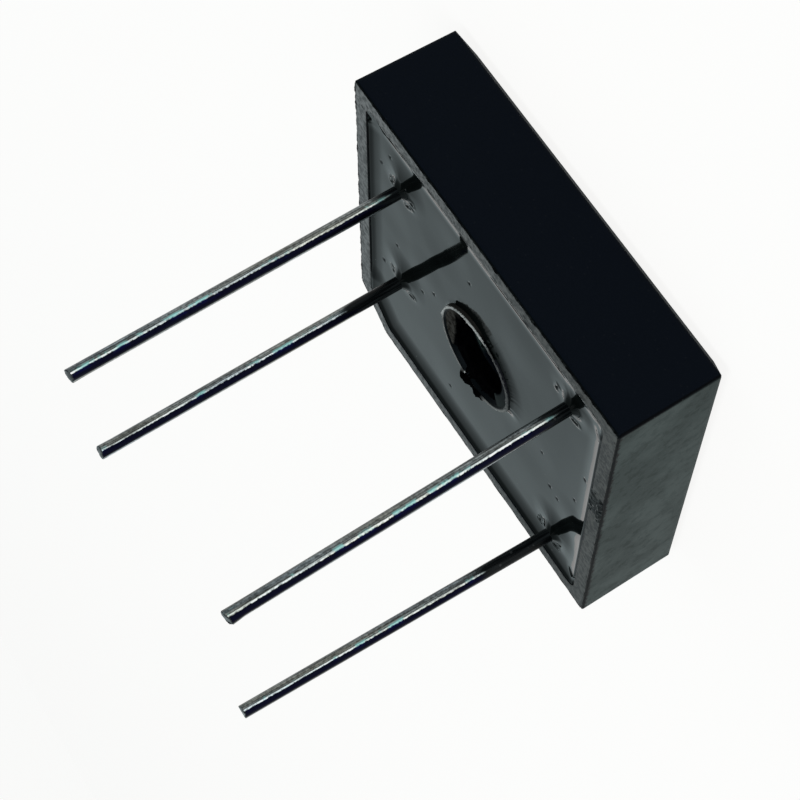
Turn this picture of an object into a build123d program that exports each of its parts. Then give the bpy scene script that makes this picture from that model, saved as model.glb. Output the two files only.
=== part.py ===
from build123d import *
from math import atan2, degrees, radians, tan
import os

# Square potted bridge rectifier: a moulded shell with a screw hole through its centre, four dice between
# copper straps, four wire leads, and a pour of epoxy that fills the shell round them.
# Millimetres. The origin is the centre of the mounting hole on the back, the face that lies on the heat
# sink. +Z runs along the leads, -Y is the polished front side, and the cut corner is at +X +Y.

# Shell
body_side = 28.5            # across the open face, where the leads come out
body_height = 8.0           # from the back to the rim
side_draft = 0.85           # degrees that the sides lean in towards the back
corner_radius = 0.25        # of the upright edges
corner_cut = 3.1            # along each side, at the corner that marks the positive lead
back_bevel_reach = 1.5      # flat bevel all round the back, measured along the back
back_bevel_height = 0.75    # and up the side
rim_width = 1.3
rim_bevel = 0.12
cavity_corner_radius = 0.8   # more than creep_reach
floor_thickness = 0.7       # between the plate in the back and the straps
mounting_hole_d = 5.1
boss_d = 7.8
mouth_d = 7.4               # steep mouth of the boss, left where the moulding's gate was punched out
mouth_depth = 1.5

# Metal plate moulded into the back
plate_thickness = 1.2
plate_border = 2.4          # moulding that shows round the plate
plate_key_width = 0.6       # flange all round the plate, held in the moulding
plate_key_height = 0.6
plate_corner_radius = 1.2

# Epoxy
pour_depth = 0.4            # from the rim down to the epoxy
creep_height = 0.3          # how far the epoxy is drawn up the walls and the boss
creep_reach = 0.7           # how far out from them it starts to rise
creep_lip = 0.04            # thickness where it ends on the wall
lead_creep_height = 0.55    # how far the epoxy climbs each lead
lead_neck_radius = 0.6      # where that climb turns steep
lead_neck_height = 0.12
lead_creep_radius = 1.05    # where it starts to rise from the swell
lead_swell_radius = 2.3     # foot of the low swell round each lead
lead_swell_height = 0.05
swell_root = 0.15           # how deep the solids of swell and creep reach into the pour

# Straps, dice and solder
strap_thickness = 0.5
strap_margin = 0.6          # strap beyond the die on each side
strap_corner_radius = 0.5   # of the two lower straps
strap_clearance = 0.7       # between the boss and the upper straps
bar_width = 2.2
lead_pad_d = 2.6
contact_height = 0.25       # pressed button that reaches down from an upper strap to its die
contact_margin = 0.5        # die left bare round the button
die_clearance = 2.4         # from a die to the boss and to the wall
die_thickness = 0.3
die_shift = 0.9             # die's centre nearer the middle than the bar's
solder_thickness = 0.08
solder_margin = 0.2         # beyond each lead's head

# Leads
lead_d = 0.95
lead_head_d = 1.7
lead_head_height = 0.4
lead_tip_chamfer = 0.06

# Each lead: its place as shares of half the body's side, its lean in degrees towards +X and +Y, and the
# height of its cut end
leads = {
    "ac_front": {"share_x": 0.6491, "share_y": -0.5544, "lean_x": -0.55, "lean_y": 0.25, "tip": 31.65},
    "positive": {"share_x": 0.6421, "share_y": 0.2667, "lean_x": -0.6, "lean_y": 0.25, "tip": 31.0},
    "negative": {"share_x": -0.6772, "share_y": -0.6982, "lean_x": -1.2, "lean_y": 0.25, "tip": 31.5},
    "ac_rear": {"share_x": -0.6842, "share_y": 0.6877, "lean_x": 0.7, "lean_y": -0.15, "tip": 31.8},
}

# Heights of the stack, worked out from the back
floor_top = plate_thickness + floor_thickness
lower_strap_top = floor_top + strap_thickness
die_bottom = lower_strap_top + solder_thickness
die_top = die_bottom + die_thickness
contact_bottom = die_top + solder_thickness
upper_strap_bottom = contact_bottom + contact_height
upper_strap_top = upper_strap_bottom + strap_thickness
pour_top = body_height - pour_depth

# Places in plan
boss_r = boss_d / 2
lead_r = lead_d / 2
cavity_half = body_side / 2 - rim_width
bar_x = boss_r + strap_clearance + bar_width / 2
die_x = bar_x - die_shift
die_y = (boss_r + cavity_half) / 2
die_side = cavity_half - boss_r - 2 * die_clearance
lower_strap_length = 2 * die_x + die_side + 2 * strap_margin
lower_strap_width = die_side + 2 * strap_margin
contact_side = die_side - 2 * contact_margin
dice = {1: (die_x, -die_y), 2: (die_x, die_y), 3: (-die_x, -die_y), 4: (-die_x, die_y)}


def corner_points(inset, height):
    """Corners of a square with one of them cut off, set in from the body's sides."""
    half = body_side / 2 - inset
    cut = corner_cut - (2 - 2**0.5) * inset
    plan = [(-half, -half), (half, -half), (half, half - cut), (half - cut, half), (-half, half)]
    return [(x, y, height) for x, y in plan]


def flat_face(points):
    """Flat face between straight edges."""
    return make_face(Polyline(*points, close=True)).face()


def outline(inset, radius):
    """Plan of the body, set in from its sides, with its corners rounded."""
    face = flat_face(corner_points(inset, 0))
    return fillet(face.vertices(), radius)


def prism(inset, radius, bottom, top):
    """Straight block of the body's outline between two heights."""
    return extrude(Pos(0, 0, bottom) * outline(inset, radius), amount=top - bottom)


def upright(diameter, bottom, top, x=0.0, y=0.0):
    """Round bar along Z between two heights."""
    return Pos(x, y, (bottom + top) / 2) * Cylinder(diameter / 2, top - bottom)


def bar(start, end, width):
    """Round-ended bar from one point to another, in plan."""
    run = Vector(*end) - Vector(*start)
    middle = (Vector(*start) + Vector(*end)) * 0.5
    return Pos(middle.X, middle.Y) * Rot(0, 0, degrees(atan2(run.Y, run.X))) * SlotCenterToCenter(
        run.length, width
    )


def place(lead):
    """Where a lead stands, in plan."""
    half = body_side / 2
    return lead["share_x"] * half, lead["share_y"] * half


def make_plate():
    """Heat spreader: its outer half shows on the back and its inner half is keyed into the moulding."""
    key_bottom = plate_thickness - plate_key_height
    face = prism(plate_border, plate_corner_radius, 0, plate_thickness)
    key = prism(plate_border - plate_key_width, plate_corner_radius, key_bottom, plate_thickness)
    return face + key - upright(boss_d, 0, plate_thickness)


def tapered(inset_low, inset_high):
    """Block of the body's height and outline, its sides flat from one inset at the back to another."""
    low = corner_points(inset_low, 0)
    high = corner_points(inset_high, body_height)
    faces = [flat_face(low), flat_face(high)]
    for k in range(len(low)):
        faces.append(flat_face([low[k - 1], low[k], high[k], high[k - 1]]))
    return Solid(Shell(faces))


def make_shell_block():
    """Outside of the shell, narrower towards the back, with its back and rim edges bevelled."""
    back_inset = body_height * tan(radians(side_draft))
    block = tapered(back_inset, 0)
    uprights = block.edges().filter_by_position(Axis.Z, back_bevel_height, body_height - rim_bevel)
    block = fillet(uprights, corner_radius)
    bevel_low = back_inset + back_bevel_reach
    bevel_rise = body_height * back_bevel_reach / back_bevel_height
    return block & tapered(bevel_low, bevel_low - bevel_rise) & tapered(rim_bevel - body_height, rim_bevel)


def make_case(plate):
    """Shell with its cavity, its centre boss up to the rim, and its seat for the plate."""
    cavity = prism(rim_width, cavity_corner_radius, floor_top, body_height)
    boss = upright(boss_d, 0, body_height)
    hole = upright(mounting_hole_d, 0, body_height)
    mouth = Cone(mounting_hole_d / 2, mouth_d / 2, mouth_depth)
    mouth = Pos(0, 0, body_height - mouth_depth / 2) * mouth
    return make_shell_block() - cavity - plate + boss - hole - mouth


def make_lower_strap(y, lead):
    """Flat strap under two dice, with a round pad for the lead that stands on it."""
    side = 1 if lead["share_x"] > 0 else -1
    strap = Pos(0, y) * RectangleRounded(lower_strap_length, lower_strap_width, strap_corner_radius)
    strap += bar((side * die_x, y), place(lead), lead_pad_d)
    return extrude(Pos(0, 0, floor_top) * strap, amount=strap_thickness)


def make_upper_strap(side, foot, branch_y):
    """Bar past the boss from die to die, an arm to its lead, and a pressed button over each die."""
    strap = bar((side * bar_x, -die_y), (side * bar_x, die_y), bar_width)
    strap += bar((side * bar_x, branch_y), foot, lead_pad_d)
    buttons = Sketch()
    for y in (-die_y, die_y):
        button = Pos(side * die_x, y) * Rectangle(contact_side, contact_side)
        strap += button
        buttons += button
    plate = extrude(Pos(0, 0, upper_strap_bottom) * strap, amount=strap_thickness)
    return plate + extrude(Pos(0, 0, contact_bottom) * buttons, amount=contact_height)


def make_lead(lead, foot):
    """Headed wire: upright inside the epoxy, then straight on with a slight lean to its cut end."""
    x, y = place(lead)
    rise = lead["tip"] - pour_top
    tip_x = x + rise * tan(radians(lead["lean_x"]))
    tip_y = y + rise * tan(radians(lead["lean_y"]))
    start = (x, y, foot)
    path = Polyline(start, (x, y, pour_top), (tip_x, tip_y, lead["tip"]))
    wire = sweep(Plane(start) * Circle(lead_r), path=path, transition=Transition.RIGHT)
    wire = chamfer(wire.edges().sort_by(Axis.Z)[-1], lead_tip_chamfer)
    return wire + upright(lead_head_d, foot, foot + lead_head_height, x, y)


def make_creep_ring(inner):
    """Epoxy drawn up a round boss."""
    profile = [
        (inner, pour_top - swell_root),
        (inner + creep_lip + creep_reach, pour_top - swell_root),
        (inner + creep_lip + creep_reach, pour_top),
        (inner + creep_lip, pour_top + creep_height),
        (inner, pour_top + creep_height),
    ]
    return revolve(Plane.XZ * make_face(Polyline(*profile, close=True)), Axis.Z)


def make_swell(lead):
    """Low swell of epoxy round a lead, drawn up steeply at the wire itself."""
    steep = (lead_creep_height - lead_neck_height) / (lead_neck_radius - lead_r)
    profile = [
        (0, pour_top - swell_root),
        (lead_swell_radius, pour_top - swell_root),
        (lead_swell_radius, pour_top),
        (lead_creep_radius, pour_top + lead_swell_height),
        (lead_neck_radius, pour_top + lead_neck_height),
        (0, pour_top + lead_neck_height + steep * lead_neck_radius),
    ]
    swell = Pos(*place(lead)) * revolve(Plane.XZ * make_face(Polyline(*profile, close=True)), Axis.Z)
    return swell & prism(rim_width, cavity_corner_radius, floor_top, lead["tip"])


def make_pour(inner_pieces):
    """Epoxy that fills the shell round everything in it, drawn up every wall that it touches."""
    block = prism(rim_width, cavity_corner_radius, floor_top, pour_top + creep_height)
    open_air = prism(rim_width + creep_lip, cavity_corner_radius, pour_top, body_height)
    level = open_air.faces().sort_by(Axis.Z)[0]
    open_air = chamfer(level.edges(), creep_reach, creep_height, reference=level)
    pour = block - open_air + make_creep_ring(boss_r)
    for lead in leads.values():
        pour += make_swell(lead)
    pour -= upright(boss_d, 0, body_height)
    for piece in inner_pieces:
        pour -= piece
    return pour


parts = {}
plate = make_plate()
parts["heat_spreader"] = plate
parts["case"] = make_case(plate)

parts["strap_ac_front"] = make_lower_strap(-die_y, leads["ac_front"])
parts["strap_ac_rear"] = make_lower_strap(die_y, leads["ac_rear"])
parts["strap_positive"] = make_upper_strap(1, place(leads["positive"]), place(leads["positive"])[1])
parts["strap_negative"] = make_upper_strap(-1, place(leads["negative"]), -die_y)

for number, (x, y) in dice.items():
    lower = Box(die_side, die_side, solder_thickness)
    upper = Box(contact_side, contact_side, solder_thickness)
    die = Box(die_side, die_side, die_thickness)
    parts[f"die_solder_lower_{number}"] = Pos(x, y, lower_strap_top + solder_thickness / 2) * lower
    parts[f"die_{number}"] = Pos(x, y, die_bottom + die_thickness / 2) * die
    parts[f"die_solder_upper_{number}"] = Pos(x, y, die_top + solder_thickness / 2) * upper

for name, lead in leads.items():
    seat = lower_strap_top if name.startswith("ac") else upper_strap_top
    foot = seat + solder_thickness
    parts[f"lead_solder_{name}"] = upright(lead_head_d + 2 * solder_margin, seat, foot, *place(lead))
    parts[f"lead_{name}"] = make_lead(lead, foot)

inner_names = [name for name in parts if name not in ("case", "heat_spreader")]
parts["potting"] = make_pour([parts[name] for name in inner_names])

os.makedirs("parts", exist_ok=True)
for name, solid in parts.items():
    solid.label = name
    export_step(solid, f"parts/{name}.step")
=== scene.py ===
import bpy
import math
import numpy as np
from mathutils import Matrix, Vector


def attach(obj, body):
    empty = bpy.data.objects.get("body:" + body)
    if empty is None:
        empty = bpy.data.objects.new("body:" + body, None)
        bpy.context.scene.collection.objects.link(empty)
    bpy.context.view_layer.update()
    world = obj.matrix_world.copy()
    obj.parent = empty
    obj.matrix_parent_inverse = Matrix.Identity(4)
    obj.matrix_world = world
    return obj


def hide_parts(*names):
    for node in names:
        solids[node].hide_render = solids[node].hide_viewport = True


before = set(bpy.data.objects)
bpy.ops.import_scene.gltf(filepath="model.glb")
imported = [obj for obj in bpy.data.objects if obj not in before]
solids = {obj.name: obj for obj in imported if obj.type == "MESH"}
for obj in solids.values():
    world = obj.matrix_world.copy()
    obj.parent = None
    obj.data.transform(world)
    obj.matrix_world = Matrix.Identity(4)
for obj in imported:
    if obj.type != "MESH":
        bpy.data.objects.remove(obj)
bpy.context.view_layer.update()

mm = 0.001


# Heat spreader: a square of rolled aluminium let into the back of the moulding, flush with it. Its
# grain runs one way, and handling has left fine scratches and a few dull patches on it.

def new_finish(name):
    """A material with its node tree and its Principled shader."""
    material = bpy.data.materials.new(name)
    material.use_nodes = True
    tree = material.node_tree
    return material, tree, tree.nodes["Principled BSDF"]


def add(tree, kind, values=None, **settings):
    """A shader node with its settings and the values of its inputs."""
    node = tree.nodes.new("ShaderNode" + kind)
    for name, value in settings.items():
        setattr(node, name, value)
    for name, value in (values or {}).items():
        node.inputs[name].default_value = value
    return node


def join(tree, source, target):
    """Links an output socket to an input socket."""
    tree.links.new(source, target)


def new_group(name, inputs, outputs):
    """A node group with its sockets, and its input and output nodes."""
    group = bpy.data.node_groups.new(name, "ShaderNodeTree")
    for label, kind, value in inputs:
        socket = group.interface.new_socket(label, in_out="INPUT", socket_type="NodeSocket" + kind)
        socket.default_value = value
    for label, kind in outputs:
        group.interface.new_socket(label, in_out="OUTPUT", socket_type="NodeSocket" + kind)
    return group, group.nodes.new("NodeGroupInput"), group.nodes.new("NodeGroupOutput")


def place_group(tree, group, values=None):
    """A node group set into a material with its own values."""
    node = tree.nodes.new("ShaderNodeGroup")
    node.node_tree = group
    for name, value in (values or {}).items():
        node.inputs[name].default_value = value
    return node


def math_node(tree, operation, first, second=None, clamp=False):
    """One sum on sockets or numbers; gives its output socket."""
    node = add(tree, "Math", operation=operation, use_clamp=clamp)
    for k, value in enumerate((first, second)):
        if value is None:
            continue
        if isinstance(value, (int, float)):
            node.inputs[k].default_value = value
        else:
            join(tree, value, node.inputs[k])
    return node.outputs[0]


def times(tree, first, second):
    """The product of two sockets or numbers."""
    return math_node(tree, "MULTIPLY", first, second)


def remap(tree, value, low, high, out_low=0.0, out_high=1.0, smooth=False):
    """Stretches a range of values to another one, and holds it there."""
    ends = {"From Min": low, "From Max": high, "To Min": out_low, "To Max": out_high}
    node = add(tree, "MapRange", ends)
    node.interpolation_type = "SMOOTHSTEP" if smooth else "LINEAR"
    join(tree, value, node.inputs["Value"])
    return node.outputs["Result"]


def blend(tree, share, first, second):
    """Mix of two colours, each a socket or three numbers, by a share from 0 to 1."""
    node = add(tree, "Mix", data_type="RGBA")
    for socket, value in ((node.inputs[0], share), (node.inputs[6], first), (node.inputs[7], second)):
        if isinstance(value, tuple):
            socket.default_value = (*value, 1)
        elif isinstance(value, float):
            socket.default_value = value
        else:
            join(tree, value, socket)
    return node.outputs[2]


def emboss(tree, shader, height, strength, distance, normal=None):
    """Puts a bump from a height on the shader."""
    bump = add(tree, "Bump", {"Strength": strength, "Distance": distance})
    join(tree, height, bump.inputs["Height"])
    if normal is not None:
        join(tree, normal, bump.inputs["Normal"])
    join(tree, bump.outputs["Normal"], shader.inputs["Normal"])


def dress(names, material):
    """Gives CAD solids their finish."""
    for name in names:
        solid = solids[name]
        solid.data.materials.clear()
        solid.data.materials.append(material)


# Cloudy patches, such as films, stains and uneven gloss
patches, source, result = new_group(
    "patches",
    [
        ("Place", "Vector", (0, 0, 0)),
        ("Scale", "Float", 400.0),
        ("Low", "Float", 0.4),
        ("High", "Float", 0.6),
    ],
    [("Mask", "Float")],
)
cloud = add(patches, "TexNoise", {"Detail": 4.0, "Roughness": 0.6})
span = add(patches, "MapRange", interpolation_type="SMOOTHSTEP")
join(patches, source.outputs["Place"], cloud.inputs["Vector"])
join(patches, source.outputs["Scale"], cloud.inputs["Scale"])
join(patches, cloud.outputs["Fac"], span.inputs["Value"])
join(patches, source.outputs["Low"], span.inputs["From Min"])
join(patches, source.outputs["High"], span.inputs["From Max"])
join(patches, span.outputs["Result"], result.inputs["Mask"])

# Fine scratches: thin contour lines of a cloud that is stretched along the scratches
scratches, source, result = new_group(
    "scratches",
    [("Place", "Vector", (0, 0, 0)), ("Stretch", "Vector", (400, 4000, 400)), ("Width", "Float", 0.01)],
    [("Mask", "Float")],
)
drawn = add(scratches, "VectorMath", operation="MULTIPLY")
cloud = add(scratches, "TexNoise", {"Scale": 1.0, "Detail": 2.0, "Roughness": 0.5})
join(scratches, source.outputs["Place"], drawn.inputs[0])
join(scratches, source.outputs["Stretch"], drawn.inputs[1])
join(scratches, drawn.outputs["Vector"], cloud.inputs["Vector"])
off = math_node(scratches, "ABSOLUTE", math_node(scratches, "SUBTRACT", cloud.outputs["Fac"], 0.5))
off = math_node(scratches, "DIVIDE", off, source.outputs["Width"])
line = math_node(scratches, "SUBTRACT", 1.0, off, clamp=True)
join(scratches, line, result.inputs["Mask"])

rolled_plate, tree, shader = new_finish("rolled_plate")
place = add(tree, "TexCoord").outputs["Object"]
grain = place_group(tree, scratches, {"Stretch": (300, 9000, 300), "Width": 0.09})
marks = place_group(tree, scratches, {"Stretch": (900, 240, 900), "Width": 0.006})
stains = place_group(tree, patches, {"Scale": 320.0, "Low": 0.42, "High": 0.7})
for node in (grain, marks, stains):
    join(tree, place, node.inputs["Place"])
colour = blend(tree, stains.outputs["Mask"], (0.72, 0.72, 0.73), (0.58, 0.58, 0.585))
colour = blend(tree, times(tree, grain.outputs["Mask"], 0.3), colour, (0.45, 0.45, 0.46))
join(tree, colour, shader.inputs["Base Color"])
join(tree, remap(tree, stains.outputs["Mask"], 0, 1, 0.28, 0.42), shader.inputs["Roughness"])
lines = math_node(tree, "ADD", grain.outputs["Mask"], marks.outputs["Mask"])
emboss(tree, shader, lines, 0.4, 0.004 * mm)
shader.inputs["Metallic"].default_value = 1.0
dress(["heat_spreader"], rolled_plate)


# Shell: black filled epoxy moulding with a boss round the screw hole. Its front side is polished, the
# others are matt with a mottled greyish tone that is partly their own and partly a painted sheen of the
# light grazing them. Painted shade darkens the top and front edges of the matt sides and the bevels of the
# rim and back. Its rim has a thin ragged fin of flash along its outer edges, and the boss's mouth is torn
# where the moulding's gate was punched out; the mouth is painted near black inside and at its foot as
# painted shade, with a painted highlight on its crest. A pale strip along the front of the rim's inner
# edge is a painted highlight of the epoxy's lip there.

# Small specks, such as dust and pits: the middles of some cells
specks, source, result = new_group(
    "specks",
    [
        ("Place", "Vector", (0, 0, 0)),
        ("Scale", "Float", 2000.0),
        ("Size", "Float", 0.2),
        ("Share", "Float", 0.2),
    ],
    [("Mask", "Float")],
)
cells = add(specks, "TexVoronoi", {"Randomness": 1.0})
join(specks, source.outputs["Place"], cells.inputs["Vector"])
join(specks, source.outputs["Scale"], cells.inputs["Scale"])
near = math_node(specks, "LESS_THAN", cells.outputs["Distance"], source.outputs["Size"])
chance = add(specks, "SeparateColor")
join(specks, cells.outputs["Color"], chance.inputs["Color"])
chosen = math_node(specks, "LESS_THAN", chance.outputs["Red"], source.outputs["Share"])
join(specks, times(specks, near, chosen), result.inputs["Mask"])

black_moulding, tree, shader = new_finish("black_moulding")
coordinates = add(tree, "TexCoord")
place = coordinates.outputs["Object"]
facing = add(tree, "SeparateXYZ")
join(tree, coordinates.outputs["Normal"], facing.inputs[0])
spot = add(tree, "SeparateXYZ")
join(tree, place, spot.inputs[0])
polished = remap(tree, facing.outputs["Y"], -0.8, -0.95, smooth=True)
ground = remap(tree, facing.outputs["Z"], 0.85, 0.95, smooth=True)
# Bevels along the back and along the rim, both darkened below as painted shade
back_bevel = remap(tree, facing.outputs["Z"], -0.3, -0.6, smooth=True)
rim_bevel = times(
    tree,
    remap(tree, facing.outputs["Z"], 0.3, 0.5, smooth=True),
    remap(tree, facing.outputs["Z"], 0.95, 0.85, smooth=True),
)
film = place_group(tree, patches, {"Scale": 260.0, "Low": 0.4, "High": 0.62})
blots = place_group(tree, patches, {"Scale": 1500.0, "Low": 0.36, "High": 0.52})
dust = place_group(tree, specks, {"Scale": 3800.0, "Size": 0.2, "Share": 0.1})
pits = place_group(tree, specks, {"Scale": 1500.0, "Size": 0.22, "Share": 0.12})
grit = place_group(tree, patches, {"Scale": 3200.0, "Low": 0.38, "High": 0.62})
for node in (film, blots, dust, pits, grit):
    join(tree, place, node.inputs["Place"])
# Matt sides: a mottled greyish tone, paler than the polished front; partly their own colour, partly a
# painted sheen of the light grazing them
cloudy = math_node(
    tree,
    "ADD",
    times(tree, film.outputs["Mask"], 0.6),
    times(tree, blots.outputs["Mask"], 0.4),
)
matt = blend(tree, cloudy, (0.013, 0.023, 0.021), (0.034, 0.05, 0.047))
# Painted shade: a ragged near-black band along the top of the matt sides and along their edge with the
# front
ragged = times(tree, grit.outputs["Mask"], 0.2 * mm)
rim_line = math_node(tree, "ADD", spot.outputs["Z"], ragged)
edges = math_node(
    tree,
    "MAXIMUM",
    remap(tree, rim_line, 7.78 * mm, 7.95 * mm),
    remap(tree, spot.outputs["Y"], -13.8 * mm, -14.05 * mm),
)
matt = blend(tree, edges, matt, (0.001, 0.001, 0.0015))
matt = blend(tree, times(tree, dust.outputs["Mask"], 0.3), matt, (0.07, 0.08, 0.075))
matt = blend(tree, times(tree, pits.outputs["Mask"], 0.8), matt, (0.0, 0.0, 0.0))
dusted = times(tree, dust.outputs["Mask"], 0.1)
glossy = blend(tree, dusted, (0.0022, 0.0032, 0.0058), (0.03, 0.03, 0.03))
colour = blend(tree, polished, matt, glossy)
worn_dark = blend(tree, grit.outputs["Mask"], (0.035, 0.036, 0.036), (0.075, 0.075, 0.072))
worn_pale = blend(tree, grit.outputs["Mask"], (0.06, 0.062, 0.062), (0.155, 0.156, 0.157))
worn = blend(tree, remap(tree, spot.outputs["X"], -8 * mm, 13 * mm), worn_dark, worn_pale)
worn = blend(tree, times(tree, pits.outputs["Mask"], 0.7), worn, (0.01, 0.01, 0.01))
colour = blend(tree, ground, colour, worn)
# Painted shade on the rim's bevel and on the back bevel
colour = blend(tree, rim_bevel, colour, (0.001, 0.0015, 0.002))
colour = blend(tree, times(tree, back_bevel, 0.7), colour, (0.008, 0.01, 0.012))
join(tree, colour, shader.inputs["Base Color"])
rough = remap(tree, cloudy, 0.0, 1.0, 0.46, 0.4)
rough = math_node(tree, "SUBTRACT", rough, times(tree, polished, 0.16))
rough = math_node(tree, "ADD", rough, times(tree, back_bevel, 0.2))
join(tree, rough, shader.inputs["Roughness"])
grain = add(tree, "TexNoise", {"Scale": 5200.0, "Detail": 3.0})
join(tree, place, grain.inputs["Vector"])
height = times(tree, grain.outputs["Fac"], math_node(tree, "SUBTRACT", 1.0, polished))
gritty = times(tree, ground, times(tree, grit.outputs["Mask"], 0.8))
height = math_node(tree, "ADD", height, gritty)
rounded = add(tree, "Bevel", {"Radius": 0.4 * mm})
rounded.samples = 8
emboss(tree, shader, height, 0.5, 0.01 * mm, rounded.outputs["Normal"])
shader.inputs["IOR"].default_value = 1.1
shader.inputs["Specular Tint"].default_value = (0.7, 0.88, 1.0, 1)
dress(["case"], black_moulding)


def deselect():
    """Deselects all objects."""
    bpy.ops.object.select_all(action="DESELECT")


def make_active(piece):
    """Selects one piece alone and makes it the active one."""
    deselect()
    piece.select_set(True)
    bpy.context.view_layer.objects.active = piece


def points_of(piece):
    """The vertices of a piece as rows of x, y, z."""
    rows = np.empty(len(piece.data.vertices) * 3)
    piece.data.vertices.foreach_get("co", rows)
    return rows.reshape(-1, 3)


def free_points():
    """Leaves the active piece in object mode, set to vertices, with none selected."""
    bpy.ops.object.mode_set(mode="EDIT")
    bpy.ops.mesh.select_mode(type="VERT")
    bpy.ops.mesh.select_all(action="DESELECT")
    bpy.ops.object.mode_set(mode="OBJECT")


def pick_points(piece, chosen):
    """Selects only these vertices of the piece, for edit mode."""
    mesh = piece.data
    mesh.vertices.foreach_set("select", chosen)
    mesh.edges.foreach_set("select", np.zeros(len(mesh.edges), bool))
    mesh.polygons.foreach_set("select", np.zeros(len(mesh.polygons), bool))


def pull(piece, chosen, move, reach, falloff="SHARP"):
    """Moves the chosen vertices, and those within reach of them less and less."""
    pick_points(piece, chosen)
    bpy.ops.object.mode_set(mode="EDIT")
    bpy.ops.transform.translate(
        value=move if isinstance(move, tuple) else (0, 0, move),
        orient_type="GLOBAL",
        use_proportional_edit=True,
        proportional_edit_falloff=falloff,
        proportional_size=reach,
    )
    bpy.ops.object.mode_set(mode="OBJECT")


def roughen(piece, chosen, offset, seed):
    """Moves the chosen vertices each its own way by up to the offset."""
    pick_points(piece, chosen)
    bpy.ops.object.mode_set(mode="EDIT")
    bpy.ops.transform.vertex_random(offset=offset, uniform=1.0, seed=seed)
    bpy.ops.object.mode_set(mode="OBJECT")


def finish_piece(piece, name, material, *replaced, angle=40):
    """Names a new piece, gives it its material and lets it stand for its CAD nodes."""
    piece.name = name
    piece.data.materials.clear()
    piece.data.materials.append(material)
    make_active(piece)
    bpy.ops.object.shade_smooth_by_angle(angle=math.radians(angle))
    if replaced:
        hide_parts(*replaced)
    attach(piece, "root")


strip_middle = 7.93
strip_height = 0.15
strip_thickness = 0.05
strip_pitch = 0.16


def edge_strip(x, y, length, angle, rough, seed):
    """Thin ragged fin along one edge of the rim, in millimetres and degrees."""
    bpy.ops.mesh.primitive_grid_add(
        x_subdivisions=round(length / strip_pitch),
        y_subdivisions=2,
        size=1.0,
        location=(x * mm, y * mm, strip_middle * mm),
        rotation=(math.radians(90), 0, math.radians(angle)),
    )
    strip = bpy.context.object
    strip.scale = (length * mm, strip_height * mm, 1)
    bpy.ops.object.transform_apply(location=True, rotation=True, scale=True)
    free_points()
    top = points_of(strip)[:, 2] > (strip_middle + strip_height / 3) * mm
    chance = np.random.default_rng(seed)
    for rise, share, reach in ((rough, 0.12, 0.5), (-rough, 0.12, 0.5), (0.6 * rough, 0.3, 0.2)):
        lumps = chance.random(len(top)) < share
        pull(strip, top & lumps, rise * mm, reach * mm, "LINEAR")
    solidify = strip.modifiers.new("thickness", "SOLIDIFY")
    solidify.thickness = strip_thickness * mm
    solidify.offset = 0
    make_active(strip)
    bpy.ops.object.modifier_apply(modifier="thickness")
    return strip


# Each fin: its middle, its length, its angle and how rough its top is
flash_edges = [
    (0, -14.16, 27.9, 0, 0.05),
    (14.16, -1.5, 25.0, 90, 0.035),
    (-14.16, 0, 27.9, 90, 0.03),
    (-1.5, 14.16, 25.0, 0, 0.012),
    (12.63, 12.63, 4.2, -45, 0.02),
]
strips = [edge_strip(*row, seed) for seed, row in enumerate(flash_edges)]
deselect()
for strip in strips:
    strip.select_set(True)
bpy.ops.object.join()
rim_flash = bpy.context.object

flash_skin, tree, shader = new_finish("flash_skin")
place = add(tree, "TexCoord").outputs["Object"]
frayed = place_group(tree, patches, {"Scale": 2400.0, "Low": 0.45, "High": 0.65})
join(tree, place, frayed.inputs["Place"])
colour = blend(tree, frayed.outputs["Mask"], (0.001, 0.0012, 0.0015), (0.012, 0.014, 0.014))
join(tree, colour, shader.inputs["Base Color"])
join(tree, remap(tree, frayed.outputs["Mask"], 0, 1, 0.4, 0.6), shader.inputs["Roughness"])
shader.inputs["IOR"].default_value = 1.08
finish_piece(rim_flash, "rim_flash", flash_skin, angle=30)

# Pale ragged strip along the inner edge of the rim at the front: a painted highlight of the light that the
# epoxy's lip catches there
lip_highlight, tree, shader = new_finish("lip_highlight")
place = add(tree, "TexCoord").outputs["Object"]
broken = place_group(tree, patches, {"Scale": 1800.0, "Low": 0.4, "High": 0.6})
join(tree, place, broken.inputs["Place"])
colour = blend(tree, broken.outputs["Mask"], (0.05, 0.052, 0.053), (0.24, 0.245, 0.245))
join(tree, colour, shader.inputs["Base Color"])
join(tree, remap(tree, broken.outputs["Mask"], 0, 1, 0.5, 0.7), shader.inputs["Roughness"])
shader.inputs["IOR"].default_value = 1.1
finish_piece(edge_strip(0, -12.99, 25.0, 0, 0.035, 21), "lip_highlight_strip", lip_highlight, angle=30)

# Torn mouth of the boss: from its outer foot over a thin crest and down inside. Its foot and inside are
# painted near black as painted shade, with a paler shelf, wedge and outer band
torn_moulding, tree, shader = new_finish("torn_moulding")
place = add(tree, "TexCoord").outputs["Object"]
rags = place_group(tree, patches, {"Scale": 2600.0, "Low": 0.38, "High": 0.6})
chips = place_group(tree, specks, {"Scale": 4200.0, "Size": 0.3, "Share": 0.2})
for node in (rags, chips):
    join(tree, place, node.inputs["Place"])
level = add(tree, "SeparateXYZ")
join(tree, place, level.inputs[0])
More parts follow.
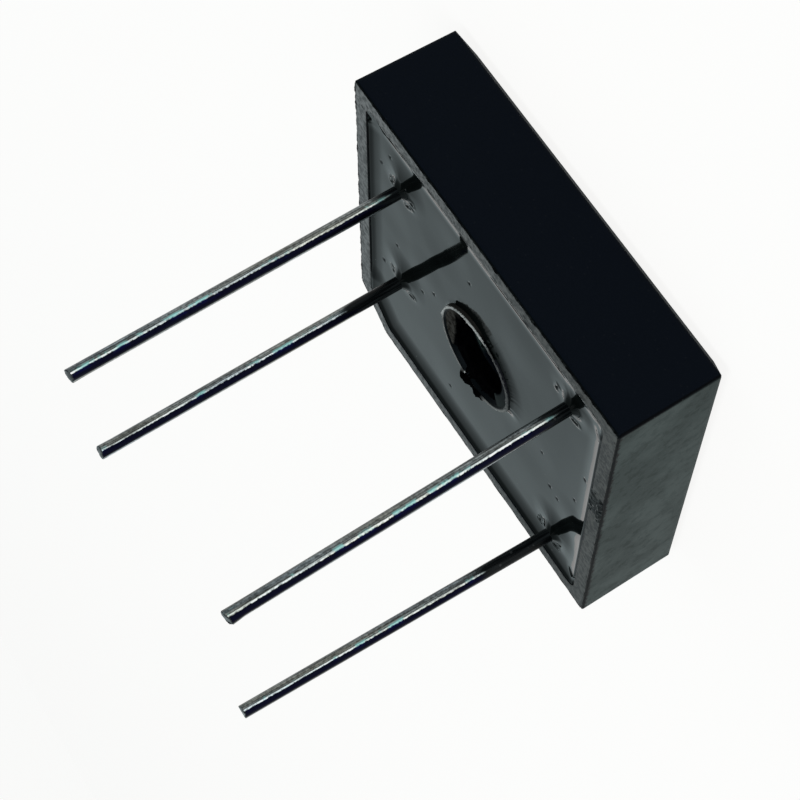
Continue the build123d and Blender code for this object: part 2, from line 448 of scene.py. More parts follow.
# Painted shade: near black below the crest, down the bore and at the boss's foot
colour = blend(tree, rags.outputs["Mask"], (0.0004, 0.0004, 0.0006), (0.001, 0.001, 0.0012))
above = remap(tree, level.outputs["Z"], 7.66 * mm, 7.74 * mm)
shelf_zone = times(tree, remap(tree, level.outputs["X"], 2.5 * mm, 2.7 * mm), above)
shelf_tone = blend(tree, rags.outputs["Mask"], (0.01, 0.009, 0.008), (0.035, 0.033, 0.03))
colour = blend(tree, shelf_zone, colour, shelf_tone)
wedge_zone = times(tree, remap(tree, level.outputs["X"], -2.0 * mm, -2.15 * mm), above)
across = remap(tree, level.outputs["Y"], -2 * mm, 2.5 * mm)
wedge_tone = blend(tree, across, (0.01, 0.01, 0.013), (0.022, 0.027, 0.026))
colour = blend(tree, wedge_zone, colour, wedge_tone)
outside = times(tree, remap(tree, level.outputs["X"], -0.8 * mm, 0.2 * mm), above)
outside = times(tree, outside, remap(tree, level.outputs["Y"], -1.8 * mm, -2.6 * mm))
colour = blend(tree, outside, colour, (0.018, 0.0165, 0.015))
# Painted highlight: the crest is painted pale, brightest on its lit side
crest = times(
    tree,
    remap(tree, level.outputs["Z"], 7.94 * mm, 7.98 * mm, smooth=True),
    remap(tree, level.outputs["Z"], 8.16 * mm, 8.1 * mm, smooth=True),
)
lit = math_node(
    tree,
    "MAXIMUM",
    times(
        tree,
        remap(tree, level.outputs["X"], -1.5 * mm, -0.7 * mm),
        remap(tree, level.outputs["Y"], 0.5 * mm, -0.5 * mm),
    ),
    times(tree, remap(tree, level.outputs["Y"], 0.3 * mm, 1.2 * mm), 0.35),
)
lit = math_node(tree, "ADD", times(tree, lit, 0.75), 0.2)
beside = remap(tree, math_node(tree, "ABSOLUTE", level.outputs["X"]), 1.0 * mm, 1.6 * mm)
near_side = remap(tree, level.outputs["Y"], 1 * mm, 0)
lit = times(tree, lit, math_node(tree, "MAXIMUM", beside, near_side))
colour = blend(tree, times(tree, crest, lit), colour, (0.34, 0.34, 0.33))
colour = blend(tree, times(tree, chips.outputs["Mask"], crest), colour, (0.4, 0.4, 0.39))
join(tree, colour, shader.inputs["Base Color"])
join(tree, remap(tree, rags.outputs["Mask"], 0, 1, 0.35, 0.6), shader.inputs["Roughness"])
emboss(tree, shader, rags.outputs["Mask"], 0.6, 0.03 * mm)
shader.inputs["IOR"].default_value = 1.0

# Radius and height of each ring of the mouth
mouth_profile = [
    (3.95, 7.6),
    (3.94, 7.8),
    (3.92, 7.96),
    (3.88, 8.02),
    (3.8, 8.03),
    (3.74, 7.98),
    (3.66, 7.88),
    (3.3, 7.86),
    (2.95, 7.84),
    (2.68, 7.8),
    (2.62, 7.5),
    (2.58, 6.6),
]
outer_radius, outer_foot = mouth_profile[0]
deselect()
bpy.ops.mesh.primitive_circle_add(
    vertices=200,
    radius=outer_radius * mm,
    fill_type="NOTHING",
    location=(0, 0, outer_foot * mm),
)
torn = bpy.context.object
bpy.ops.object.transform_apply(location=True)
bpy.ops.object.mode_set(mode="EDIT")
bpy.ops.mesh.select_all(action="SELECT")
for (r0, z0), (r1, z1) in zip(mouth_profile, mouth_profile[1:]):
    bpy.ops.mesh.extrude_edges_move(TRANSFORM_OT_translate={"value": (0, 0, (z1 - z0) * mm)})
    bpy.ops.transform.resize(value=(r1 / r0, r1 / r0, 1), center_override=(0, 0, 0))
bpy.ops.mesh.select_all(action="SELECT")
bpy.ops.mesh.normals_make_consistent(inside=False)
free_points()
points = points_of(torn)
radius = np.hypot(points[:, 0], points[:, 1])
bearing = np.degrees(np.arctan2(points[:, 1], points[:, 0]))
on_crest = (radius > 3.78 * mm) & (points[:, 2] > 7.95 * mm)
ledge = (radius > 2.65 * mm) & (radius < 3.5 * mm)
sunk = ledge & (np.abs(bearing) > 42) & (np.abs(bearing) < 138)
wedge = (np.abs(bearing) > 145) & (radius < 2.8 * mm) & (points[:, 2] > 7.7 * mm)
pull(torn, sunk, -0.32 * mm, 0.15 * mm)
pull(torn, wedge, -0.16 * mm, 0.7 * mm)
roughen(torn, on_crest, 0.03 * mm, 3)
roughen(torn, ledge & (np.abs(bearing) < 38) & (radius > 3.2 * mm), 0.06 * mm, 4)
# Each tooth of the crest: its bearing and half its width in degrees, its rise and its reach
teeth = [
    (91, 20, 0.14, 0.25),
    (79, 4, 0.2, 0.4),
    (101, 3, 0.15, 0.3),
    (120, 2, 0.05, 0.3),
    (-172, 2, 0.1, 0.3),
    (-4, 2, 0.08, 0.3),
    (-30, 2, 0.05, 0.3),
    (-75, 3, 0.04, 0.4),
    (-96, 3, 0.04, 0.3),
]
for turn, width, rise, reach in teeth:
    pull(torn, on_crest & (np.abs(bearing - turn) < width), rise * mm, reach * mm, "LINEAR")
spike = on_crest & (np.abs(bearing - 169) < 2)
pull(torn, spike, (-0.12 * mm, 0.03 * mm, 0.03 * mm), 0.3 * mm, "LINEAR")
finish_piece(torn, "torn_mouth", torn_moulding, angle=50)


# Straps, dice and solder, sealed in the epoxy: four straps stamped from copper, four dice of silicon
# between them, and tin solder that joins each die and each lead to its strap.

stamped_copper, tree, shader = new_finish("stamped_copper")
place = add(tree, "TexCoord").outputs["Object"]
tarnish = place_group(tree, patches, {"Scale": 500.0, "Low": 0.4, "High": 0.65})
grain = place_group(tree, scratches, {"Stretch": (400, 6000, 400), "Width": 0.08})
for node in (tarnish, grain):
    join(tree, place, node.inputs["Place"])
colour = blend(tree, tarnish.outputs["Mask"], (0.72, 0.42, 0.28), (0.5, 0.27, 0.19))
join(tree, colour, shader.inputs["Base Color"])
join(tree, remap(tree, grain.outputs["Mask"], 0, 1, 0.3, 0.45), shader.inputs["Roughness"])
shader.inputs["Metallic"].default_value = 1.0
dress([name for name in solids if name.startswith("strap_")], stamped_copper)

grey_silicon, tree, shader = new_finish("grey_silicon")
place = add(tree, "TexCoord").outputs["Object"]
etched = place_group(tree, patches, {"Scale": 1500.0, "Low": 0.35, "High": 0.65})
join(tree, place, etched.inputs["Place"])
colour = blend(tree, etched.outputs["Mask"], (0.2, 0.21, 0.24), (0.25, 0.26, 0.28))
join(tree, colour, shader.inputs["Base Color"])
join(tree, remap(tree, etched.outputs["Mask"], 0, 1, 0.25, 0.4), shader.inputs["Roughness"])
dress([f"die_{k}" for k in (1, 2, 3, 4)], grey_silicon)

dull_solder, tree, shader = new_finish("dull_solder")
place = add(tree, "TexCoord").outputs["Object"]
frost = place_group(tree, patches, {"Scale": 1800.0, "Low": 0.35, "High": 0.65})
join(tree, place, frost.inputs["Place"])
colour = blend(tree, frost.outputs["Mask"], (0.6, 0.6, 0.61), (0.48, 0.48, 0.5))
join(tree, colour, shader.inputs["Base Color"])
join(tree, remap(tree, frost.outputs["Mask"], 0, 1, 0.3, 0.5), shader.inputs["Roughness"])
shader.inputs["Metallic"].default_value = 1.0
dress([name for name in solids if "solder" in name], dull_solder)


# Leads: four drawn copper wires with a thin dark tin coat. Lines painted along their length stand for
# reflections: a painted highlight line on the side turned towards the camera, with painted dark and grey
# bands beside it and oxide patches tinted blue and teal by the line. Each leaves the epoxy with a slight
# lean and a black film of it, and ends in a sheared tip with a burr.

wire_radius = 0.475 * mm
wire_foot = 3.0 * mm
wire_steps = 24
tip_bevel = 0.04 * mm
epoxy_level = 7.6 * mm

# Each wire: its foot in plan, its lean towards +X and +Y, the height of its tip, the slant of its cut, the
# bearing of its burr, and how far the film of epoxy climbs it
wires = {
    "ac_front": {
        "foot": (9.2497, -7.9002),
        "lean": (-0.55, 0.25),
        "tip": 31.78,
        "slant": 5,
        "turn": 60,
        "film": 2.0,
    },
    "positive": {
        "foot": (9.1499, 3.8005),
        "lean": (-0.6, 0.25),
        "tip": 31.35,
        "slant": -4,
        "turn": 100,
        "film": 4.6,
    },
    "negative": {
        "foot": (-9.6501, -9.9494),
        "lean": (-1.2, 0.25),
        "tip": 31.78,
        "slant": 7,
        "turn": 30,
        "film": 2.2,
    },
    "ac_rear": {
        "foot": (-9.7499, 9.7997),
        "lean": (0.7, -0.15),
        "tip": 31.8,
        "slant": 5,
        "turn": 80,
        "film": 6.0,
    },
}

# Lines along a wire: where a point stands round the wire, as a share of a turn, a fine and a coarse cloud
# drawn along it, and the height above the epoxy
wire_lines, source, result = new_group(
    "wire_lines",
    [
        ("Place", "Vector", (0, 0, 0)),
        ("Foot", "Vector", (0, 0, 0)),
        ("Slope", "Vector", (0, 0, 0)),
        ("Seed", "Float", 0.0),
    ],
    [("Turn", "Float"), ("Fine", "Float"), ("Coarse", "Float"), ("Height", "Float")],
)
local = add(wire_lines, "VectorMath", operation="SUBTRACT")
join(wire_lines, source.outputs["Place"], local.inputs[0])
join(wire_lines, source.outputs["Foot"], local.inputs[1])
apart = add(wire_lines, "SeparateXYZ")
join(wire_lines, local.outputs[0], apart.inputs[0])
drift = add(wire_lines, "VectorMath", operation="SCALE")
join(wire_lines, source.outputs["Slope"], drift.inputs[0])
join(wire_lines, apart.outputs["Z"], drift.inputs["Scale"])
centred = add(wire_lines, "VectorMath", operation="SUBTRACT")
join(wire_lines, local.outputs[0], centred.inputs[0])
join(wire_lines, drift.outputs[0], centred.inputs[1])
drawn = add(wire_lines, "VectorMath", {1: (2200, 2200, 90)}, operation="MULTIPLY")
join(wire_lines, centred.outputs[0], drawn.inputs[0])
cloud = add(wire_lines, "TexNoise", {"Scale": 1.0, "Detail": 2.0}, noise_dimensions="4D")
join(wire_lines, drawn.outputs[0], cloud.inputs["Vector"])
join(wire_lines, source.outputs["Seed"], cloud.inputs["W"])
finer = add(wire_lines, "TexNoise", {"Scale": 3.2, "Detail": 3.0}, noise_dimensions="4D")
join(wire_lines, drawn.outputs[0], finer.inputs["Vector"])
join(wire_lines, source.outputs["Seed"], finer.inputs["W"])
flat = add(wire_lines, "SeparateXYZ")
join(wire_lines, centred.outputs[0], flat.inputs[0])
behind = times(wire_lines, flat.outputs["Y"], -1.0)
turned = math_node(wire_lines, "ARCTAN2", flat.outputs["X"], behind)
turned = math_node(wire_lines, "DIVIDE", turned, 2 * math.pi)
join(wire_lines, math_node(wire_lines, "ADD", turned, 0.5), result.inputs["Turn"])
join(wire_lines, finer.outputs["Fac"], result.inputs["Fine"])
join(wire_lines, cloud.outputs["Fac"], result.inputs["Coarse"])
join(wire_lines, apart.outputs["Z"], result.inputs["Height"])


def slope_of(wire):
    """How far a wire moves in plan for each unit of height."""
    return tuple(math.tan(math.radians(degrees)) for degrees in wire["lean"])


def wire_finish(name, wire, seed):
    """Dark tinned copper with lines painted along the wire as painted reflections and a painted highlight
    line, and a black film of epoxy at its foot.
    """
    material, tree, shader = new_finish("dark_wire_" + name)
    place = add(tree, "TexCoord").outputs["Object"]
    foot = (wire["foot"][0] * mm, wire["foot"][1] * mm, epoxy_level)
    slope = (*slope_of(wire), 0)
    lines = place_group(tree, wire_lines, {"Foot": foot, "Slope": slope, "Seed": seed})
    dust = place_group(tree, specks, {"Scale": 2600.0, "Size": 0.25, "Share": 0.12})
    spots = place_group(tree, patches, {"Scale": 4200.0, "Low": 0.35, "High": 0.65})
    oxide = place_group(tree, patches, {"Scale": 700.0, "Low": 0.5, "High": 0.62})
    for node in (lines, dust, spots, oxide):
        join(tree, place, node.inputs["Place"])
    stray = math_node(tree, "ADD", lines.outputs["Coarse"], times(tree, spots.outputs["Mask"], 0.2))
    waver = times(tree, math_node(tree, "SUBTRACT", stray, 0.6), 0.06)
    turn = math_node(tree, "ADD", lines.outputs["Turn"], waver)
    # Tone round the wire: a painted highlight line on the side facing the camera, between painted dark and
    # grey reflection bands
    ramp = add(tree, "ValToRGB")
    stops = [
        (0.0, 0.05),
        (0.12, 0.3),
        (0.17, 0.06),
        (0.2, 0.55),
        (0.25, 0.4),
        (0.28, 0.02),
        (0.33, 0.008),
        (0.43, 0.006),
        (0.445, 1.0),
        (0.468, 1.0),
        (0.482, 0.06),
        (0.51, 0.22),
        (0.53, 0.1),
        (0.57, 0.26),
        (0.6, 0.12),
        (0.63, 0.2),
        (0.65, 0.04),
        (0.74, 0.25),
        (0.8, 0.05),
        (1.0, 0.05),
    ]
    while len(ramp.color_ramp.elements) < len(stops):
        ramp.color_ramp.elements.new(0.5)
    for element, (where, tone) in zip(ramp.color_ramp.elements, stops):
        element.position = where
        element.color = (tone, tone, tone, 1)
    join(tree, turn, ramp.inputs["Fac"])
    broken = remap(tree, lines.outputs["Fine"], 0.35, 0.65, 0.45, 1.25)
    speckle = remap(tree, spots.outputs["Mask"], 0, 1, 0.6, 1.3)
    tone = times(tree, ramp.outputs["Color"], times(tree, broken, speckle))
    warmth = remap(tree, lines.outputs["Coarse"], 0.35, 0.65)
    tint = blend(tree, warmth, (0.8, 0.93, 1.0), (0.95, 0.98, 0.88))
    metal = add(tree, "VectorMath", operation="SCALE")
    join(tree, tint, metal.inputs[0])
    join(tree, tone, metal.inputs["Scale"])
    # Oxide patches beside the painted highlight: dark blue in the painted dark band, pale teal as part of
    # the painted highlight
    beside_line = times(tree, remap(tree, turn, 0.36, 0.41), remap(tree, turn, 0.52, 0.47))
    blued = times(tree, beside_line, oxide.outputs["Mask"])
    tarnish = blend(tree, remap(tree, turn, 0.43, 0.46), (0.005, 0.006, 0.07), (0.3, 0.68, 0.65))
    painted_reflection_metal = blend(tree, times(tree, blued, 0.8), metal.outputs[0], tarnish)
    # Painted dark reflection band on one side of the highlight line
    dark_reflection_band = times(tree, remap(tree, turn, 0.28, 0.32), remap(tree, turn, 0.44, 0.42))
    painted_reflection_metal = blend(tree, times(tree, dark_reflection_band, 0.6), painted_reflection_metal, (0.004, 0.004, 0.02))
    facing = add(tree, "SeparateXYZ")
    join(tree, add(tree, "TexCoord").outputs["Normal"], facing.inputs[0])
    cut_end = remap(tree, facing.outputs["Z"], 0.5, 0.8)
    sheared = blend(tree, spots.outputs["Mask"], (0.01, 0.01, 0.012), (0.1, 0.1, 0.1))
    painted_reflection_metal = blend(tree, cut_end, painted_reflection_metal, sheared)
    ragged = math_node(tree, "SUBTRACT", lines.outputs["Coarse"], 0.5)
    ragged = times(tree, ragged, 6.0 * mm)
    climb = math_node(tree, "ADD", lines.outputs["Height"], ragged)
    bare = remap(tree, climb, (wire["film"] - 0.6) * mm, (wire["film"] + 0.6) * mm, smooth=True)
    streaks = remap(tree, lines.outputs["Fine"], 0.45, 0.65)
    film = blend(tree, streaks, (0.001, 0.0015, 0.002), (0.012, 0.014, 0.015))
    film = blend(tree, times(tree, dust.outputs["Mask"], 0.4), film, (0.06, 0.06, 0.06))
    join(tree, blend(tree, bare, film, painted_reflection_metal), shader.inputs["Base Color"])
    join(tree, bare, shader.inputs["Metallic"])
    join(tree, remap(tree, lines.outputs["Fine"], 0.3, 0.7, 0.2, 0.35), shader.inputs["Roughness"])
    emboss(tree, shader, lines.outputs["Fine"], 0.35, 0.01 * mm)
    shader.inputs["IOR"].default_value = 1.2
    return material


for number, (name, wire) in enumerate(wires.items()):
    x, y = wire["foot"][0] * mm, wire["foot"][1] * mm
    deselect()
    bpy.ops.mesh.primitive_circle_add(
        vertices=40,
        radius=wire_radius,
        fill_type="NGON",
        location=(x, y, wire_foot),
    )
    piece = bpy.context.object
    bpy.ops.object.transform_apply(location=True)
    bpy.ops.object.mode_set(mode="EDIT")
    bpy.ops.mesh.select_all(action="SELECT")
    bpy.ops.mesh.extrude_region_move(TRANSFORM_OT_translate={"value": (0, 0, epoxy_level - wire_foot)})
    slope_x, slope_y = slope_of(wire)
    slack = wire_radius * math.tan(math.radians(abs(wire["slant"]))) + 0.05 * mm
    rise = (wire["tip"] * mm - slack - epoxy_level) / wire_steps
    move = (rise * slope_x, rise * slope_y, rise)
    for step in range(wire_steps):
        bpy.ops.mesh.extrude_region_move(TRANSFORM_OT_translate={"value": move})
    tip_x = x + wire_steps * rise * slope_x
    tip_y = y + wire_steps * rise * slope_y
    tip = (tip_x, tip_y, wire["tip"] * mm - slack)
    bpy.ops.transform.rotate(
        value=math.radians(wire["slant"]),
        orient_axis="X" if wire["turn"] > 70 else "Y",
        orient_type="GLOBAL",
        center_override=tip,
    )
    bpy.ops.mesh.extrude_region_move(TRANSFORM_OT_translate={"value": (0, 0, tip_bevel)})
    bpy.ops.transform.resize(value=(0.9, 0.9, 1), center_override=tip)
    bpy.ops.mesh.select_all(action="SELECT")
    bpy.ops.mesh.normals_make_consistent(inside=False)
    free_points()
    points = points_of(piece)
    end = points[:, 2] > (wire["tip"] - 0.4) * mm
    bearing = math.radians(wire["turn"])
    east, north = math.cos(bearing), math.sin(bearing)
    side = (points[:, 0] - tip_x) * east + (points[:, 1] - tip_y) * north
    burr = (-0.09 * mm * east, -0.09 * mm * north, -0.1 * mm)
    pull(piece, end & (side < -0.36 * mm), burr, 0.3 * mm)
    roughen(piece, end, 0.02 * mm, number)
    finish_piece(piece, "wire_" + name, wire_finish(name, wire, 3.7 * number), "lead_" + name)


# Epoxy: poured in dark grey and left to set. It's drawn up the walls, the boss and the leads, stands in a
# low lip along the two near walls, and has low swells, pinholes and small sunk marks in its glossy
# surface. Some of it ran over the rim.

cavity_half = 12.95 * mm
cavity_corner = 0.8 * mm
inner_cut = 2.338 * mm
overlap = 0.15 * mm
grid_half = cavity_half + overlap
grid_steps = 290
lip_end = 11.2 * mm
top_limit = 7.95 * mm
pour_depth = 1.2 * mm


def near_point(points, x, y, radius):
    """Which vertices stand within a radius of a point, in plan and in millimetres."""
    return np.hypot(points[:, 0] - x * mm, points[:, 1] - y * mm) <= radius * mm


def inside_wall(points):
    """How far each vertex stands inside the cavity's wall, in plan."""
    ax, ay = np.abs(points[:, 0]), np.abs(points[:, 1])
    straight = cavity_half - np.maximum(ax, ay)
    core = cavity_half - cavity_corner
    in_corner = (ax > core) & (ay > core)
    rounded = cavity_corner - np.hypot(ax - core, ay - core)
    depth = np.where(in_corner, rounded, straight)
    cut = (2 * cavity_half - inner_cut - points[:, 0] - points[:, 1]) / math.sqrt(2)
    return np.minimum(depth, cut)


deselect()
bpy.ops.mesh.primitive_grid_add(
    x_subdivisions=grid_steps,
    y_subdivisions=grid_steps,
    size=2 * grid_half,
    location=(0, 0, epoxy_level),
)
epoxy = bpy.context.object
bpy.ops.object.transform_apply(location=True)
free_points()
points = points_of(epoxy)
pick_points(epoxy, (inside_wall(points) < -overlap) | near_point(points, 0, 0, 3.7))
bpy.ops.object.mode_set(mode="EDIT")
bpy.ops.mesh.delete(type="VERT")
bpy.ops.object.mode_set(mode="OBJECT")

points = points_of(epoxy)
x_in, y_in = points[:, 0], points[:, 1]
at_wall = inside_wall(points) <= 0.06 * mm
side_wall = (x_in >= cavity_half - 0.06 * mm) & (y_in >= -lip_end)
far_wall = at_wall & (y_in >= 9 * mm) & ((x_in > 0) | (y_in >= 12.6 * mm))
near_wall = at_wall & (y_in <= -cavity_half + 0.7 * mm)
lip = (x_in <= -cavity_half + 0.22 * mm) & (np.abs(y_in) <= lip_end)
boss = near_point(points, 0, 0, 3.93)
boss_shade = boss & (y_in < 1.0 * mm)
# What is held, how far it rises and how far out the rise reaches
drawn_up = [
    (side_wall, 0.16, 1.1),
    (far_wall, 0.24, 2.0),
    (side_wall | far_wall, 0.1, 0.35),
    (near_wall, 0.36, 2.0),
    (lip, 0.2, 1.4),
    (lip, 0.15, 3.6),
    (boss, 0.06, 0.3),
    (boss_shade & (x_in < 2.2 * mm), 0.04, 1.0),
    (boss_shade & (x_in < 0.8 * mm), 0.05, 1.2),
    (boss_shade & (x_in < -0.6 * mm), 0.06, 1.4),
    (boss_shade & (x_in < -1.6 * mm), 0.05, 2.6),
]
for held, rise, reach in drawn_up:
    pull(epoxy, held, rise * mm, reach * mm)
pull(epoxy, x_in <= -cavity_half + 0.04 * mm, -0.2 * mm, 0.22 * mm)
pick_points(epoxy, points_of(epoxy)[:, 2] > top_limit)
bpy.ops.object.mode_set(mode="EDIT")
bpy.ops.transform.resize(value=(1, 1, 0.1), center_override=(0, 0, top_limit))
bpy.ops.object.mode_set(mode="OBJECT")

for wire in wires.values():
    x, y = wire["foot"]
    pull(epoxy, near_point(points, x, y, 0.4), 0.38 * mm, 0.8 * mm)
    pull(epoxy, near_point(points, x, y - 0.7, 0.5), 0.2 * mm, 2.3 * mm)
# Each swell: its place, its rise or sink and its reach
swells = [
    (4.5, -7.5, -0.035, 3.2),
    (6.4, -1.2, 0.02, 2.4),
    (-4.2, -8.3, 0.025, 3.0),
    (-6.4, 3.2, -0.02, 3.4),
    (2.2, 8.4, 0.02, 3.6),
    (-11.3, 4.6, 0.03, 2.2),
    (10.8, -3.0, -0.02, 2.6),
]
for x, y, rise, reach in swells:
    pull(epoxy, near_point(points, x, y, 0.3), rise * mm, reach * mm, "SMOOTH")


def near_slot(points, x, y, turn, half_length):
    """Which vertices stand close to a short line that runs at an angle, in millimetres and degrees."""
    along = (math.cos(math.radians(turn)), math.sin(math.radians(turn)))
    east, north = points[:, 0] - x * mm, points[:, 1] - y * mm
    on_line = np.abs(east * along[0] + north * along[1]) <= half_length * mm
    return on_line & (np.abs(north * along[0] - east * along[1]) <= 0.06 * mm)


# Each sunk mark: its place, its bearing and half its length
marks = [
    (10.5, -7.3, 85, 0.32),
    (8.55, -6.75, 35, 0.4),
    (8.1, -7.75, 100, 0.25),
    (10.4, 4.25, 95, 0.35),
    (8.1, 4.5, 25, 0.35),
    (-8.0, -9.5, 75, 0.3),
    (-10.05, -8.25, 25, 0.42),
    (-8.25, 10.6, 80, 0.4),
    (-10.2, 11.35, 30, 0.3),
]
crests = np.zeros(len(points), bool)
hollows = np.zeros(len(points), bool)
for x, y, turn, half_length in marks:
    crests |= near_slot(points, x, y, turn, half_length)
    hollows |= near_slot(points, x, y, turn, half_length - 0.1)
pull(epoxy, crests, 0.06 * mm, 0.38 * mm, "SMOOTH")
pull(epoxy, hollows, -0.11 * mm, 0.16 * mm, "SMOOTH")
pinholes = [
    (10.73, -9.74),
    (11.83, -7.62),
    (1.55, -7.43),
    (5.45, 0.07),
    (9.98, 0.38),
    (-11.89, -3.21),
    (-11.2, 1.4),
    (-8.61, 4.29),
    (-9.55, 4.6),
    (11.7, 4.91),
    (3.11, 9.76),
    (-7.4, 1.2),
    (6.8, 1.9),
]
holes = np.zeros(len(points), bool)
for x, y in pinholes:
    holes |= near_point(points, x, y, 0.08)
pull(epoxy, holes, -0.06 * mm, 0.2 * mm)

glossy_epoxy, tree, shader = new_finish("glossy_epoxy")
place = add(tree, "TexCoord").outputs["Object"]
smudges = place_group(tree, patches, {"Scale": 260.0, "Low": 0.4, "High": 0.7})
dust = place_group(tree, specks, {"Scale": 1500.0, "Size": 0.1, "Share": 0.05})
for node in (smudges, dust):
    join(tree, place, node.inputs["Place"])
colour = blend(tree, smudges.outputs["Mask"], (0.0012, 0.0018, 0.0018), (0.0025, 0.0035, 0.0033))
colour = blend(tree, times(tree, dust.outputs["Mask"], 0.3), colour, (0.1, 0.1, 0.1))
join(tree, colour, shader.inputs["Base Color"])
join(tree, remap(tree, smudges.outputs["Mask"], 0, 1, 0.03, 0.07), shader.inputs["Roughness"])
waves = add(tree, "TexNoise", {"Scale": 170.0, "Detail": 1.0})
join(tree, place, waves.inputs["Vector"])
emboss(tree, shader, waves.outputs["Fac"], 1.0, 0.03 * mm)
shader.inputs["IOR"].default_value = 1.165

# Side walls down into the shell, and a flat underside
make_active(epoxy)
bpy.ops.object.mode_set(mode="EDIT")
bpy.ops.mesh.select_mode(type="EDGE")
bpy.ops.mesh.select_all(action="DESELECT")
bpy.ops.mesh.select_non_manifold()
bpy.ops.mesh.extrude_edges_move(TRANSFORM_OT_translate={"value": (0, 0, -pour_depth)})
bpy.ops.transform.resize(value=(1, 1, 0), center_override=(0, 0, epoxy_level - pour_depth))
bpy.ops.mesh.fill()
bpy.ops.mesh.select_mode(type="VERT")
bpy.ops.mesh.select_all(action="SELECT")
bpy.ops.mesh.normals_make_consistent(inside=False)
bpy.ops.object.mode_set(mode="OBJECT")
finish_piece(epoxy, "epoxy_pour", glossy_epoxy, "potting", angle=60)

# Overflow: a thin lumpy tongue of epoxy that set across the rim
tongue_x, tongue_y = -13.52, -2.65
tongue_width, tongue_length = 1.35, 3.3
tongue_level = 7.985
bpy.ops.mesh.primitive_grid_add(
    x_subdivisions=26,
    y_subdivisions=62,
    size=1.0,
    location=(tongue_x * mm, tongue_y * mm, tongue_level * mm),
)
tongue = bpy.context.object
tongue.scale = (tongue_width * mm, tongue_length * mm, 1)
bpy.ops.object.transform_apply(location=True, scale=True)
free_points()
points = points_of(tongue)
mid_width = np.abs(points[:, 0] - tongue_x * mm) < 0.3 * mm
mid_length = np.abs(points[:, 1] - tongue_y * mm) < 1.0 * mm
pull(tongue, mid_width & mid_length, 0.05 * mm, 0.5 * mm, "SMOOTH")
lumps = np.random.default_rng(11)
for k in range(60):
    side = 1 if k % 3 == 0 else -1
    x = tongue_x + side * (0.2 + 0.28 * lumps.random()) * tongue_width
    y = tongue_y + (lumps.random() - 0.5) * tongue_length
    rise = 0.02 + 0.04 * lumps.random()
    pull(tongue, near_point(points, x, y, 0.05), rise * mm, 0.2 * mm, "SMOOTH")

crusted_epoxy, tree, shader = new_finish("crusted_epoxy")
place = add(tree, "TexCoord").outputs["Object"]
crust = place_group(tree, patches, {"Scale": 1400.0, "Low": 0.4, "High": 0.6})
glints = place_group(tree, specks, {"Scale": 3000.0, "Size": 0.3, "Share": 0.12})
for node in (crust, glints):
    join(tree, place, node.inputs["Place"])
colour = blend(tree, crust.outputs["Mask"], (0.002, 0.003, 0.0035), (0.02, 0.022, 0.022))
colour = blend(tree, glints.outputs["Mask"], colour, (0.12, 0.12, 0.12))
join(tree, colour, shader.inputs["Base Color"])
join(tree, remap(tree, crust.outputs["Mask"], 0, 1, 0.22, 0.45), shader.inputs["Roughness"])
shader.inputs["IOR"].default_value = 1.12
finish_piece(tongue, "overflow", crusted_epoxy, angle=60)


# Stage: a pale floor that the part stands on, its far side turned up as a backdrop, soft light from a
# large lamp above and the pale room round it, and the camera at the photograph's angle.

deselect()
bpy.ops.mesh.primitive_plane_add(size=4.0, location=(0, 0, -0.00002))
floor = bpy.context.object
floor.name = "floor"
bpy.ops.object.transform_apply(location=True)
bpy.ops.object.mode_set(mode="EDIT")
bpy.ops.mesh.select_all(action="DESELECT")
bpy.ops.object.mode_set(mode="OBJECT")
pick_points(floor, points_of(floor)[:, 1] > 1.9)
vertices = floor.data.vertices
far_edges = [all(vertices[k].select for k in edge.vertices) for edge in floor.data.edges]
floor.data.edges.foreach_set("select", far_edges)
bpy.ops.object.mode_set(mode="EDIT")
for lean in (0.3, 0.1, 0.02):
    bpy.ops.mesh.extrude_edges_move(TRANSFORM_OT_translate={"value": (0, lean * 0.3, 0.09)})
bpy.ops.object.mode_set(mode="OBJECT")
paper, tree, shader = new_finish("floor_paper")
tree.nodes.remove(shader)
plain = add(tree, "BsdfDiffuse", {"Color": (0.92, 0.92, 0.915, 1)})
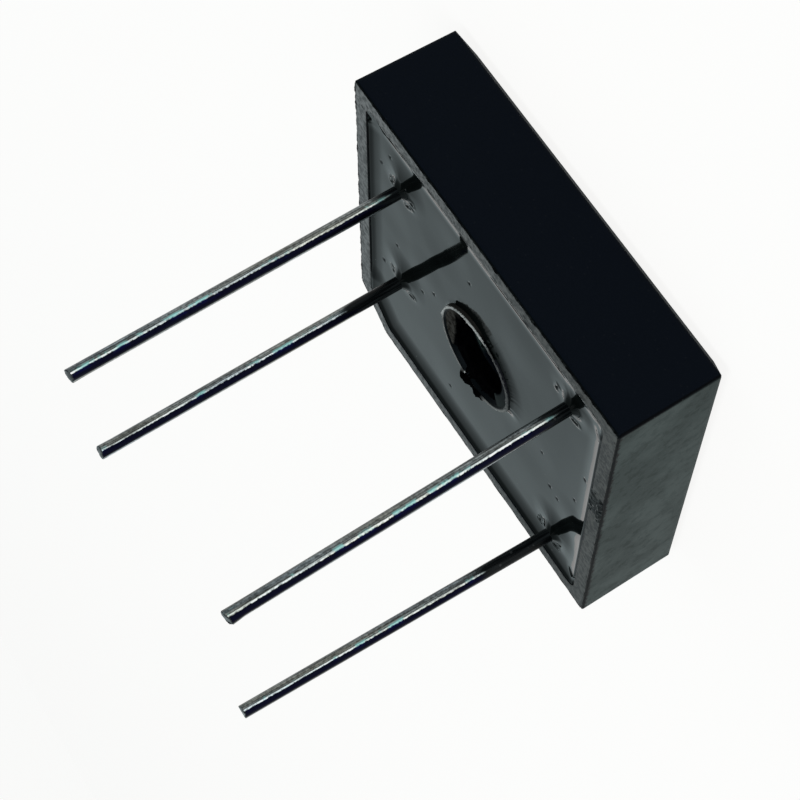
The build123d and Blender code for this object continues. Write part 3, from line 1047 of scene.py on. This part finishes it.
glow = add(tree, "Emission", {"Color": (1.0, 0.995, 0.985, 1), "Strength": 1.0})
path = add(tree, "LightPath")
seen = math_node(tree, "MAXIMUM", path.outputs["Is Camera Ray"], path.outputs["Is Glossy Ray"])
seen = math_node(tree, "MAXIMUM", seen, path.outputs["Is Transmission Ray"])
share = times(tree, seen, 0.9)
mix = add(tree, "MixShader")
join(tree, share, mix.inputs[0])
join(tree, plain.outputs[0], mix.inputs[1])
join(tree, glow.outputs[0], mix.inputs[2])
join(tree, mix.outputs[0], tree.nodes["Material Output"].inputs["Surface"])
floor.data.materials.append(paper)

world = bpy.data.worlds.new("room")
bpy.context.scene.world = world
world.use_nodes = True
tree = world.node_tree
direction = add(tree, "TexCoord")
split = add(tree, "SeparateXYZ")
join(tree, direction.outputs["Generated"], split.inputs[0])
tone = remap(tree, split.outputs["Z"], 0.05, 0.9, 0.8, 0.5, smooth=True)
background = tree.nodes["Background"]
background.inputs["Color"].default_value = (0.82, 0.97, 1.0, 1)
join(tree, tone, background.inputs["Strength"])

lamp_place = Vector((-0.25, -0.35, 0.8))
lamp_aim = Vector((0, 0, 0.01))
lamp = bpy.data.lights.new("lamp_above", "AREA")
lamp.size = 0.5
lamp.energy = 4.0
stand = bpy.data.objects.new("lamp_above", lamp)
bpy.context.scene.collection.objects.link(stand)
stand.location = lamp_place
stand.rotation_euler = (lamp_aim - lamp_place).to_track_quat("-Z", "Y").to_euler()

camera = bpy.data.cameras.new("camera")
camera.lens = 98.4
camera.sensor_width = 36
camera.clip_start = 0.01
camera.clip_end = 20
viewer = bpy.data.objects.new("camera", camera)
bpy.context.scene.collection.objects.link(viewer)
right = Vector((-0.53282, 0.00213, -0.84623))
down = Vector((-0.76386, 0.42913, 0.48204))
forward = Vector((0.36417, 0.90324, -0.22703))
camera_turn = Matrix((right, -down, -forward)).transposed()
camera_place = (-0.051008, -0.126779, 0.045481)
viewer.matrix_world = Matrix.Translation(camera_place) @ camera_turn.to_4x4()
bpy.context.scene.camera = viewer
bpy.context.scene.view_settings.view_transform = "Standard"
